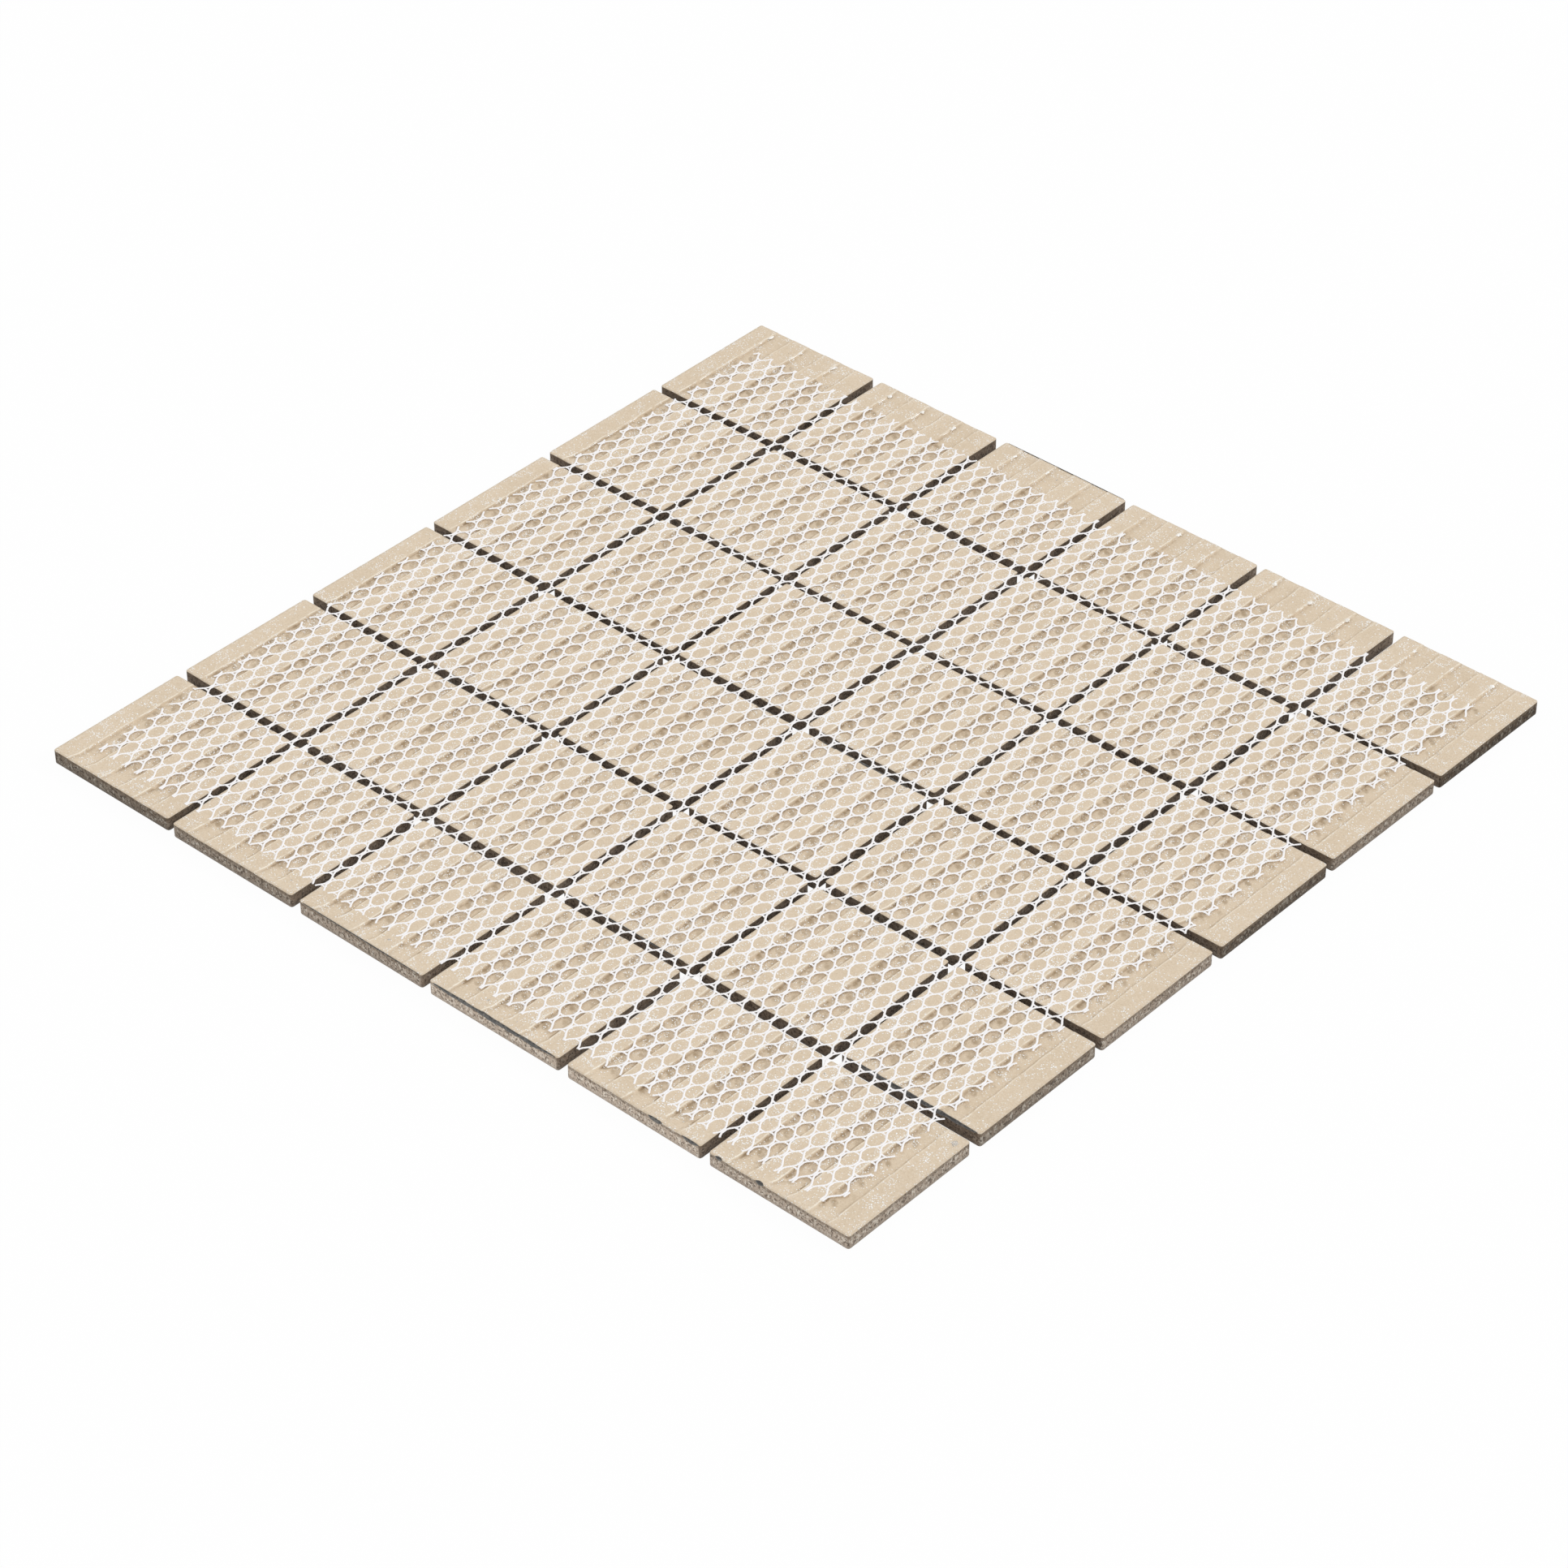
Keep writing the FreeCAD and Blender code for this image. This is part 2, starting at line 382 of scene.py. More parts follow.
def seen_directly(tree):
    """One for light that reaches the camera straight or by way of gloss or glass, and zero for the rest."""
    path = tree.nodes.new("ShaderNodeLightPath")
    seen = calc(tree, "MAXIMUM", path.outputs["Is Camera Ray"], path.outputs["Is Glossy Ray"])
    return calc(tree, "MAXIMUM", seen, path.outputs["Is Transmission Ray"])


def split(tree, vector):
    """The X, Y and Z of a coordinate."""
    parts = tree.nodes.new("ShaderNodeSeparateXYZ")
    tree.links.new(vector, parts.inputs["Vector"])
    return parts.outputs["X"], parts.outputs["Y"], parts.outputs["Z"]


def attribute(tree, name):
    """A number stored on the piece's points."""
    stored = tree.nodes.new("ShaderNodeAttribute")
    stored.attribute_name = name
    return stored.outputs["Fac"]


def relief(tree, shader, height, depth):
    """Bump of a given depth in millimetres."""
    bump = tree.nodes.new("ShaderNodeBump")
    bump.inputs["Strength"].default_value = 1.0
    bump.inputs["Distance"].default_value = depth * MM
    tree.links.new(height, bump.inputs["Height"])
    tree.links.new(bump.outputs["Normal"], shader.inputs["Normal"])


def net_shadow_spot(tree, odd):
    """Soft slanted spot in each hole of the net, for the even or the odd rows of holes.

    The spot is painted shadow of the net's threads on the sunk groove floor.
    The distances from the nearest spot's middle are turned into the slant's own
    directions, and the sum of their squares over the spot's reaches is faded out.
    """
    across = calc(tree, "SUBTRACT", attribute(tree, "across"), SPOT_MIDDLE[0] + odd * CELL_PITCH / 2.0)
    along = calc(tree, "SUBTRACT", attribute(tree, "along"), SPOT_MIDDLE[1] + odd * ROW_PITCH)
    across = calc(tree, "WRAP", across, CELL_PITCH / 2.0, -CELL_PITCH / 2.0)
    along = calc(tree, "WRAP", along, ROW_PITCH, -ROW_PITCH)
    cos, sin = math.cos(SPOT_SLANT), math.sin(SPOT_SLANT)
    down = calc(tree, "SUBTRACT", calc(tree, "MULTIPLY", across, cos), calc(tree, "MULTIPLY", along, sin))
    up = calc(tree, "ADD", calc(tree, "MULTIPLY", across, sin), calc(tree, "MULTIPLY", along, cos))
    down = calc(tree, "POWER", calc(tree, "ABSOLUTE", calc(tree, "DIVIDE", down, SPOT_REACH[0])), 2.0)
    up = calc(tree, "POWER", calc(tree, "ABSOLUTE", calc(tree, "DIVIDE", up, SPOT_REACH[1])), 2.0)
    return band(tree, calc(tree, "ADD", down, up), 1.0, 0.0)


def biscuit_material():
    """Unglazed beige back: sandy, with bright specks in drifts and a frosted rim.

    The net's holes over the grooves carry a painted shadow of the net. Each step
    has a painted highlight on its lip and painted shade at its foot. The bright
    specks and the frosted rim are painted glints, and the very rim is painted
    darker as shade.
    """
    material, tree, shader = new_material("biscuit_back", 0.6, 0.35)
    place = millimetres(tree)
    mottle = band(tree, noise(tree, place, 14.0, 3.0), 0.35, 0.65)
    colour = mix_inputs(tree, mottle, (0.680, 0.551, 0.399), (0.717, 0.587, 0.433))
    sand = band(tree, noise(tree, place, 0.55, 3.0, 0.65), 0.36, 0.64)
    colour = tinted(tree, colour, sand, 0.40, (0.825, 0.702, 0.548))
    pits = band(tree, noise(tree, place, 0.45, 2.0), 0.60, 0.72)
    colour = tinted(tree, colour, pits, 0.40, (0.48, 0.37, 0.245))
    rim = attribute(tree, "rim")
    # Painted glints: a frosted sparkle of fine bright spots near the rim
    rim_glints = calc(tree, "MULTIPLY", rim, band(tree, noise(tree, place, 0.6, 2.0), 0.46, 0.58))
    colour = tinted(tree, colour, rim_glints, 0.3, (0.93, 0.88, 0.80))
    # Painted shadow of the net's threads on the sunk groove floor, in each hole under the net
    net_shadows = calc(tree, "MAXIMUM", net_shadow_spot(tree, 0), net_shadow_spot(tree, 1))
    net_shadows = calc(tree, "MULTIPLY", net_shadows, attribute(tree, "net_shaded"))
    net_shadows = calc(tree, "MULTIPLY", net_shadows, band(tree, noise(tree, place, 1.6, 2.0), 0.25, 0.6))
    colour = tinted(tree, colour, net_shadows, 0.85, (0.39, 0.285, 0.175))
    # Painted shade at each step's foot and painted highlight on its lip, broken up unevenly
    uneven = band(tree, noise(tree, place, 2.5, 2.0), 0.30, 0.55)
    foot = calc(tree, "MULTIPLY", attribute(tree, "foot"), uneven)
    colour = tinted(tree, colour, foot, 0.5, (0.38, 0.275, 0.17))
    lip = calc(tree, "MULTIPLY", attribute(tree, "lip"), uneven)
    colour = tinted(tree, colour, lip, 0.8, (0.95, 0.87, 0.73))
    # Painted glints: bright specks in drifts, thicker clusters and a few loose ones; they also make the back
    # a little smoother and raise it a touch
    glint_drift = band(tree, noise(tree, place, 7.0, 3.0), 0.38, 0.54)
    specks = calc(tree, "MULTIPLY", flecks(tree, place, 0.85, 0.27), glint_drift)
    thick_glint_drift = band(tree, noise(tree, place, 5.0, 2.0), 0.52, 0.62)
    thick_glints = calc(tree, "MULTIPLY", flecks(tree, place, 0.65, 0.40), thick_glint_drift)
    specks = calc(tree, "MAXIMUM", specks, thick_glints)
    specks = calc(tree, "MAXIMUM", specks, flecks(tree, place, 2.4, 0.13))
    colour = mix_inputs(tree, specks, colour, (1.0, 0.99, 0.96))
    # Painted shade where the back falls away at its rim
    rim_shade = band(tree, rim, 0.55, 0.92)
    colour = tinted(tree, colour, rim_shade, 0.22, (0.40, 0.31, 0.21))
    tree.links.new(colour, shader.inputs["Base Color"])
    film = band(tree, noise(tree, place, 5.0, 3.0), 0.5, 0.62)
    roughness = calc(tree, "SUBTRACT", 0.68, calc(tree, "MULTIPLY", film, 0.22))
    roughness = calc(tree, "SUBTRACT", roughness, calc(tree, "MULTIPLY", specks, 0.3))
    tree.links.new(roughness, shader.inputs["Roughness"])
    relief(tree, shader, calc(tree, "ADD", sand, calc(tree, "MULTIPLY", specks, 1.5)), 0.04)
    return material


def fired_edge_material():
    """Rough side of a tile: clumps of pale grit and dark pits, browner in the joints, with a glazed foot."""
    material, tree, shader = new_material("fired_edge", 0.75, 0.15)
    place = millimetres(tree)
    _, _, up = split(tree, place)
    slanted = stretched(tree, place, (1.0, 1.0, 0.6))
    tone = attribute(tree, "tone")
    body = mix_inputs(tree, tone, (0.070, 0.048, 0.030), (0.600, 0.495, 0.400))
    browned = attribute(tree, "browned")
    body = tinted(tree, body, browned, 0.4, (0.16, 0.095, 0.055))
    grit = noise(tree, slanted, 1.0, 3.0, 0.8)
    clumps = band(tree, noise(tree, place, 2.2, 2.0), 0.42, 0.58)
    clumps = calc(tree, "ADD", calc(tree, "MULTIPLY", clumps, 0.65), 0.35)
    pale = calc(tree, "MULTIPLY", band(tree, grit, 0.49, 0.56), calc(tree, "SUBTRACT", 1.0, browned))
    pale = calc(tree, "MULTIPLY", pale, clumps)
    pale_colour = mix_inputs(tree, tone, (0.25, 0.225, 0.185), (0.92, 0.84, 0.73))
    body = mix_inputs(tree, pale, body, pale_colour)
    pits = band(tree, noise(tree, place, 0.8, 2.0, 0.7), 0.52, 0.58)
    pit_colour = mix_inputs(tree, tone, (0.03, 0.022, 0.016), (0.20, 0.155, 0.12))
    body = tinted(tree, body, pits, 0.9, pit_colour)
    foot_edge = calc(tree, "ADD", up, calc(tree, "MULTIPLY", noise(tree, place, 2.5), 0.7))
    foot = calc(tree, "MULTIPLY", band(tree, foot_edge, 1.7, 1.1), 0.6)
    foot_colour = mix_inputs(tree, tone, (0.07, 0.052, 0.040), (0.53, 0.45, 0.38))
    body = mix_inputs(tree, foot, body, foot_colour)
    shoulder = band(tree, up, 0.70 * TILE_TOP, 0.80 * TILE_TOP)
    body = tinted(tree, body, shoulder, 0.5, (0.16, 0.115, 0.075))
    lip = band(tree, up, TILE_TOP - 0.30, TILE_TOP - 0.08)
    body = tinted(tree, body, lip, 0.6, (0.55, 0.45, 0.33))
    tree.links.new(body, shader.inputs["Base Color"])
    rough = calc(tree, "MULTIPLY", grit, calc(tree, "SUBTRACT", 1.0, foot))
    relief(tree, shader, rough, 0.15)
    return material


def glazed_face_material():
    """Plain matt glaze of the face that lies down: taupe with fine grit."""
    material, tree, shader = new_material("glazed_face", 0.38, 0.5)
    place = millimetres(tree)
    grit = noise(tree, place, 0.6, 3.0, 0.6)
    colour = mix_inputs(tree, band(tree, grit, 0.5, 0.68), (0.30, 0.255, 0.21), (0.46, 0.41, 0.35))
    colour = mix_inputs(tree, band(tree, noise(tree, place, 0.4), 0.36, 0.28), colour, (0.10, 0.085, 0.07))
    tree.links.new(colour, shader.inputs["Base Color"])
    relief(tree, shader, grit, 0.02)
    return material


def thread_material():
    """White knitted thread: twist along its length, slightly greyer in its folds."""
    material, tree, shader = new_material("white_thread", 0.7, 0.3)
    uv = tree.nodes.new("ShaderNodeUVMap")
    uv.uv_map = "along"
    along, around, _ = split(tree, uv.outputs["UV"])
    turned = calc(tree, "MULTIPLY", around, 2.0 * math.pi)
    angle = calc(tree, "ADD", calc(tree, "MULTIPLY", along, TWIST_PER_MM), turned)
    twist = calc(tree, "ADD", calc(tree, "MULTIPLY", calc(tree, "SINE", angle), 0.5), 0.5)
    place = millimetres(tree)
    fuzz = noise(tree, place, 0.3, 2.0)
    # Painted shade in the folds of the twist, with a little random grey
    shade = calc(tree, "MULTIPLY", calc(tree, "ADD", twist, fuzz), 0.2)
    colour = mix_inputs(tree, shade, (1.0, 0.984, 0.987), (0.86, 0.84, 0.84))
    tree.links.new(colour, shader.inputs["Base Color"])
    relief(tree, shader, calc(tree, "ADD", twist, fuzz), 0.05)
    return material


def glue_material(name, clearness):
    """Dried glue, glossy, from milky at clearness 0 to clear at 1."""
    material, tree, shader = new_material(name, 0.15, 0.5)
    shader.inputs["Transmission Weight"].default_value = clearness
    shader.inputs["IOR"].default_value = 1.45
    place = millimetres(tree)
    milk = band(tree, noise(tree, place, 1.2, 2.0), 0.4, 0.65)
    colour = mix_inputs(tree, milk, (0.96, 0.93, 0.87), (1.0, 0.99, 0.97))
    tree.links.new(colour, shader.inputs["Base Color"])
    relief(tree, shader, noise(tree, place, 0.4, 2.0), 0.05)
    return material


def spilt_glaze_material():
    """Dark glaze that ran over an edge in the kiln."""
    material, tree, shader = new_material("spilt_glaze", 0.3, 0.5)
    place = millimetres(tree)
    blotch = band(tree, noise(tree, place, 0.7, 2.0), 0.45, 0.65)
    colour = mix_inputs(tree, blotch, (0.035, 0.033, 0.03), (0.13, 0.12, 0.105))
    tree.links.new(colour, shader.inputs["Base Color"])
    relief(tree, shader, blotch, 0.03)
    return material


def groove_wander(y, groove, phase):
    """Sideways wander of a groove's edge: two sines of y, and a curl to the left at the front end."""
    curl = 0.6 + 0.5 * math.sin(2.7 * phase + 1.9 * groove)
    sway = 0.10 * np.sin(0.5 * y + phase + 2.0 * groove) + 0.06 * np.sin(1.6 * y + 3.0 * phase + groove)
    return sway - curl * (1.0 - smooth(y / 4.5))


def groove_fade(y):
    """Share of the full depth: whole along the tile, falling to END_DEPTH_SHARE at both ends."""
    from_end = np.minimum(y, TILE_SIDE - y)
    return END_DEPTH_SHARE + (1.0 - END_DEPTH_SHARE) * smooth((from_end - 0.5) / END_RUN)


def past_steps(x, y, phase):
    """For each groove in turn, how far every point lies past the groove's first step."""
    for groove in range(GROOVES):
        yield x - (FIRST_LAND + groove * GROOVE_PITCH) - groove_wander(y, groove, phase)


def back_relief(x, y, phase):
    """Height of a tile's back over its lands.

    Each groove is the lesser of two smooth steps, one down at its start and one up
    at its end, times its depth and its fade. A bell curve stands on the land
    beside each edge as a pressed bead. Slow waves of a few hundredths cover the
    whole back.
    """
    height = BACK_WAVE * waves(x, y, phase, BACK_WAVE_LENGTH)
    for past in past_steps(x, y, phase):
        cut = np.minimum(smooth(past / WALL_RUN), smooth((GROOVE_WIDTH - past) / WALL_RUN))
        near_bead = NEAR_BEAD * bell(past, -0.3, BEAD_REACH)
        far_bead = FAR_BEAD * bell(past, GROOVE_WIDTH + 0.35, BEAD_REACH)
        height = height + near_bead + far_bead - GROOVE_DEPTH * groove_fade(y) * cut
    return height


def step_marks(x, y, phase):
    """Pale lip on the land beside each step and dark foot below it: bell curves across the step.

    The lip is a painted highlight on the bead beside the step and the foot is painted
    shade below it. Both grow by a bell curve along the step where the groove ends at the front.
    """
    lip, foot = 0.0 * x, 0.0 * x
    for past in past_steps(x, y, phase):
        lip = lip + bell(past, -0.25, 0.22) + 0.7 * bell(past, GROOVE_WIDTH + 0.25, 0.2)
        foot = foot + bell(past, 0.55, 0.45) + 0.9 * bell(past, GROOVE_WIDTH - 0.65, 0.2)
    curl_highlight = 1.0 + 0.8 * bell(y, 4.5, 2.0)
    curl_shade = 1.0 + 1.2 * bell(y, 6.0, 1.4)
    return lip * curl_highlight, foot * curl_shade


def back_stations():
    """Columns of the back's grid, and for each the groove whose edge it follows, or -1."""
    edge = [0.0, BACK_EDGE_RUN, CORNER_RADIUS, 1.8]
    stations = [(value, -1) for value in edge]
    near_edge = [-0.6, -0.45, -0.3, -0.15, 0.0, 0.13, 0.27, 0.4, 0.65, 0.95]
    for groove in range(GROOVES):
        start = FIRST_LAND + groove * GROOVE_PITCH
        stations += [(start + value, groove) for value in [-2.2] + near_edge]
        stations += [(start + value, groove) for value in (2.2, 3.4, 4.6, 5.8)]
        stations += [(start + GROOVE_WIDTH - value, groove) for value in reversed(near_edge)]
        stations += [(start + GROOVE_WIDTH + 2.2, groove)]
    stations += [(TILE_SIDE - value, -1) for value in reversed(edge)]
    return np.array(stations)


def round_corner(x, y):
    """Square plan with round corners.

    In each corner square of side CORNER_RADIUS, offsets p and q from the square's
    inner corner become p sqrt(1 - q^2/2) and q sqrt(1 - p^2/2), which carries the
    square's outer border onto a circle.
    """
    middle = TILE_SIDE / 2.0
    reach = middle - CORNER_RADIUS
    across, along = x - middle, y - middle
    p = np.clip((np.abs(across) - reach) / CORNER_RADIUS, 0.0, None)
    q = np.clip((np.abs(along) - reach) / CORNER_RADIUS, 0.0, None)
    new_p = p * np.sqrt(1.0 - q * q / 2.0)
    new_q = q * np.sqrt(1.0 - p * p / 2.0)
    x = x + np.sign(across) * (new_p - p) * CORNER_RADIUS
    y = y + np.sign(along) * (new_q - q) * CORNER_RADIUS
    return x, y


def edge_distance(x, y):
    """Distance inwards from the nearest side of the tile."""
    return np.minimum(np.minimum(x, TILE_SIDE - x), np.minimum(y, TILE_SIDE - y))


def tile_mesh(phase):
    """Closed tile as one grid over its back, rings down its sides and a fan under it.

    The back is a grid over x and y with the height of back_relief; its border
    drops by BACK_EDGE_DROP and, unevenly, by up to CHIP_DROP more. Each ring
    repeats the border, drawn in by the circle r - sqrt(r^2 - (r - z)^2) once z is
    below the arris radius r. It also gives how near the rim each point lies, and
    how far it is sunk in a groove.
    """
    stations = back_stations()
    ends = [0.0, BACK_EDGE_RUN, CORNER_RADIUS, 1.6, 2.6, 3.6, 4.8, 6.2]
    rows = np.concatenate([ends, np.linspace(7.8, TILE_SIDE - 7.8, 15), TILE_SIDE - np.array(ends[::-1])])
    x, y = np.meshgrid(stations[:, 0], rows, indexing="ij")
    for groove in range(GROOVES):
        follows = (stations[:, 1] == groove)[:, None]
        x = x + follows * groove_wander(y, groove, phase)
    height = TILE_TOP + back_relief(x, y, phase)
    distance = edge_distance(x, y)
    chip = 0.5 + 0.5 * waves(x, y, phase, CHIP_LENGTH)
    height = height - (BACK_EDGE_DROP + CHIP_DROP * chip) * (1.0 - smooth(distance / BACK_EDGE_RUN))
    x, y = round_corner(x, y)
    columns, lines = x.shape
    number = np.arange(columns * lines).reshape(columns, lines)
    cells = [number[:-1, :-1], number[1:, :-1], number[1:, 1:], number[:-1, 1:]]
    back = np.stack(cells, axis=-1).reshape(-1, 4)
    border = np.concatenate([number[:, 0], number[-1, 1:], number[-2::-1, -1], number[0, -2:0:-1]])
    points = [np.stack([x, y, height], axis=-1).reshape(-1, 3)]
    rim = [np.exp(-distance / RIM_REACH).ravel()]

    rim_x, rim_y = x.ravel()[border], y.ravel()[border]
    middle = TILE_SIDE / 2.0
    levels = np.array([0.5 * TILE_TOP, ARRIS_RADIUS, 0.4 * ARRIS_RADIUS, 0.1 * ARRIS_RADIUS, 0.0])
    below = np.clip(ARRIS_RADIUS - levels, 0.0, ARRIS_RADIUS)
    inset = ARRIS_RADIUS - np.sqrt(ARRIS_RADIUS**2 - below**2)
    levels = np.append(levels, 0.0)
    inset = np.append(inset, UNDER_RING_INSET)
    previous = border
    sides, under = [], []
    count = len(border)
    total = len(points[0])
    for level, draw_in in zip(levels, inset):
        share = 1.0 - draw_in / middle
        ring_x = middle + (rim_x - middle) * share
        ring_y = middle + (rim_y - middle) * share
        points.append(np.stack([ring_x, ring_y, np.full(count, level)], axis=-1))
        rim.append(np.ones(count))
        ring = total + np.arange(count)
        total += count
        quads = np.stack([previous, ring, np.roll(ring, -1), np.roll(previous, -1)], axis=-1)
        (under if draw_in > ARRIS_RADIUS else sides).append(quads)
        previous = ring
    points.append(np.array([[middle, middle, 0.0]]))
    rim.append(np.zeros(1))
    fan = np.stack([previous, np.full(count, total), np.roll(previous, -1)], axis=-1)
    groups = [(back, 0), (np.concatenate(sides), 1), (np.concatenate(under), 2), (fan, 2)]
    points, rim = np.concatenate(points), np.concatenate(rim)
    sunk = np.clip((TILE_TOP - SUNK_FROM - points[:, 2]) / (GROOVE_DEPTH - SUNK_FROM), 0.0, 1.0)
    return points, groups, rim, sunk


def lay(points, column, row, shift, turn):
    """Points of a tile turned a little about its middle and moved to its place in the sheet."""
    middle = TILE_SIDE / 2.0
    x, y = points[:, 0] - middle, points[:, 1] - middle
    middle_x = TILE_LOW[0] + column * TILE_PITCH + middle + shift[0]
    middle_y = TILE_LOW[1] + row * TILE_PITCH + middle + shift[1]
    laid = points.copy()
    laid[:, 0] = middle_x + math.cos(turn) * x - math.sin(turn) * y
    laid[:, 1] = middle_y + math.sin(turn) * x + math.cos(turn) * y
    return laid


def store(piece, name, values):
    """Keep one number for each point of a piece, for its material."""
    stored = piece.data.attributes.new(name, "FLOAT", "POINT")
    stored.data.foreach_set("value", values.astype(np.float32))


def side_tones(points, column, row):
    """How light and how brown a tile's sides are, point by point: the outer sides have tones of their own."""
    plain = RANDOM.uniform(*OTHER_TONES)
    right_side = points[:, 0] > TILE_SIDE - 0.5 * CORNER_RADIUS
    outer = np.where(right_side, column == TILES_X - 1, row == 0)
    tone = np.where(right_side, RIGHT_TONES[row], FRONT_TONES[column])
    return np.where(outer, tone, plain), np.where(outer, 0.0, JOINT_BROWN)


def back_marks(points, laid, sunk, phase):
    """What a back's material reads, point by point.

    These are the painted highlights on the steps' lips and the painted shade at
    their feet, the place among the net's holes, and how much painted shadow of the
    net falls in the grooves: most beside a groove's first step, and only under the
    net and a little past it.
    """
    across, along = net_place(laid[:, 0], laid[:, 1])
    under_net = smooth((inside_cut(laid[:, 0], laid[:, 1]) + NET_SHADE_MARGIN) / NET_SHADE_FADE)
    into_groove = np.mod(points[:, 0] - FIRST_LAND, GROOVE_PITCH) / GROOVE_WIDTH
    lip, foot = step_marks(points[:, 0], points[:, 1], phase)
    return {
        "lip": lip,
        # The feet's painted shade is stronger under the net, as the net's shadow
        "foot": foot * (0.7 + 0.7 * under_net),
        "across": across,
        "along": along,
        # Painted shadow of the net in the sunk grooves, strongest beside each groove's first step
        "net_shaded": sunk * under_net * (1.3 - 0.9 * np.clip(into_groove, 0.0, 1.0)),
    }


def make_tiles(materials):
    """All tiles, each laid a touch off its place as by hand; gives back where each one lies."""
    places = {}
    for row in range(TILES_Y):
        for column in range(TILES_X):
            phase = RANDOM.uniform(0.0, 6.0)
            shift = RANDOM.uniform(-LAY_SHIFT, LAY_SHIFT, 2)
            if row == 0 and column > 0:
                shift[1] = 0.5 * shift[1] - FRONT_SLIP
            turn = math.radians(RANDOM.uniform(-LAY_TURN_DEG, LAY_TURN_DEG))
            points, groups, rim, sunk = tile_mesh(phase)
            laid = lay(points, column, row, shift, turn)
            name = f"tile_r{row + 1}_c{column + 1}"
            piece = add_piece("porcelain_" + name, laid, groups, materials)
            tone, browned = side_tones(points, column, row)
            marks = {"rim": rim, "tone": tone, "browned": browned, **back_marks(points, laid, sunk, phase)}
            for mark, values in marks.items():
                store(piece, mark, values)
            places[row + 1, column + 1] = (column, row, shift, turn)
            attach(piece, "root")
            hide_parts(name)
    return places


def net_warp(x, y):
    """Hand-laid unevenness of the net: slow and quick waves, and a slight draw towards each joint.

    The draw is d exp((1 - d^2) / 2) times JOINT_DRAW, where d is the distance from
    the joint's middle over DRAW_REACH, so it is strongest at that reach.
    """
    from_joint = np.mod(x + SHEET_HALF + (TILE_PITCH + JOINT_WIDTH) / 2.0, TILE_PITCH) - TILE_PITCH / 2.0
    reached = from_joint / DRAW_REACH
    draw = -JOINT_DRAW * reached * np.exp(0.5 - 0.5 * reached**2)
    (slow, slow_length), (quick, quick_length) = WAVES_ACROSS
    new_x = x + draw + slow * waves(x, y, 1.0, slow_length) + quick * waves(x, y, 2.0, quick_length)
    (slow, slow_length), (quick, quick_length) = WAVES_ALONG
    new_y = y + slow * waves(x, y, 3.0, slow_length) + quick * waves(x, y, 4.0, quick_length)
    return new_x, new_y


def inside_cut(x, y):
    """How far a point lies inside the cut edges of the net, which run a little out of true."""
    left = x - (CUT_LEFT + LEFT_STRAY * (y / NET_HALF_Y) ** 2)
    right = CUT_RIGHT - x
    front = y - (CUT_FRONT + FRONT_STRAY * x / NET_HALF_X)
    back = (CUT_BACK + BACK_STRAY * x / NET_HALF_X) - y
    return np.minimum(np.minimum(left, right), np.minimum(front, back))


def thread_course(wale, side, rows):
    """Course of one thread as arrays over the row coordinate.

    At whole rows the thread runs in a leg, LANE beside the leg's middle, and
    between them it slants over to the next wale by the smooth cubic. Even rows
    have their legs on whole pitches and odd rows half a pitch over; side +1 is a
    thread that slants right after an even row and -1 one that slants left. The
    axis is the line that the net's cut is judged by: the leg's middle near a whole
    row, so that a leg's two threads end together, and the thread's own elsewhere.
    """
    nearest = np.round(rows)
    step = rows - nearest
    other = nearest + np.where(step >= 0, 1, -1)

    def lane_middle(row):
        return CELL_PITCH * (wale + side * np.mod(row, 2) / 2.0)

    def lane(row):
        return side * LANE * np.where(np.mod(row, 2) == 0, 1.0, -1.0)

    over = smooth((np.abs(step) - LEG_SHARE) / (1.0 - 2.0 * LEG_SHARE))
    across = (lane_middle(nearest) + lane(nearest)) * (1.0 - over) + (lane_middle(other) + lane(other)) * over
    axis = np.where(np.abs(step) <= 0.25, lane_middle(nearest), across)
    return across, axis, step, over


def to_sheet(across, rows):
    """Point of the net from its distance along a row and its row coordinate."""
    fall, lean = math.radians(ROW_FALL_DEG), math.radians(LEG_LEAN_DEG)
    along = rows * ROW_PITCH
    x = FIRST_CELL[0] + (across - CELL_PITCH / 2.0) * math.cos(fall) + along * math.sin(lean)
    y = FIRST_CELL[1] - (across - CELL_PITCH / 2.0) * math.sin(fall) + along * math.cos(lean)
    return net_warp(x, y)


def net_place(x, y):
    """Distances across and along the net's rows of holes, counted from the first hole's middle."""
    warp_x, warp_y = net_warp(x, y)
    x, y = 2.0 * x - warp_x - FIRST_CELL[0], 2.0 * y - warp_y - FIRST_CELL[1]
    fall, lean = math.radians(ROW_FALL_DEG), math.radians(LEG_LEAN_DEG)
    across = (x * math.cos(lean) - y * math.sin(lean)) / math.cos(fall - lean)
    along = (x * math.sin(fall) + y * math.cos(fall)) / math.cos(fall - lean)
    return across, along


def kept_runs(room, rows):
    """Stretches of rows that lie inside the cut, each ended where the room falls to zero."""
    inside = np.concatenate([[False], room > 0, [False]])
    starts = np.flatnonzero(~inside[:-1] & inside[1:])
    stops = np.flatnonzero(inside[:-1] & ~inside[1:]) - 1
    for start, stop in zip(starts, stops):
        run = rows[start : stop + 1]
        if start > 0:
            share = room[start] / (room[start] - room[start - 1])
            run = np.concatenate([[rows[start] - share * (rows[start] - rows[start - 1])], run])
        if stop < len(rows) - 1:
            share = room[stop] / (room[stop] - room[stop + 1])
            run = np.concatenate([run, [rows[stop] + share * (rows[stop + 1] - rows[stop])]])
        if len(run) > 1 and run[-1] - run[0] > SHORTEST_RUN:
            yield run


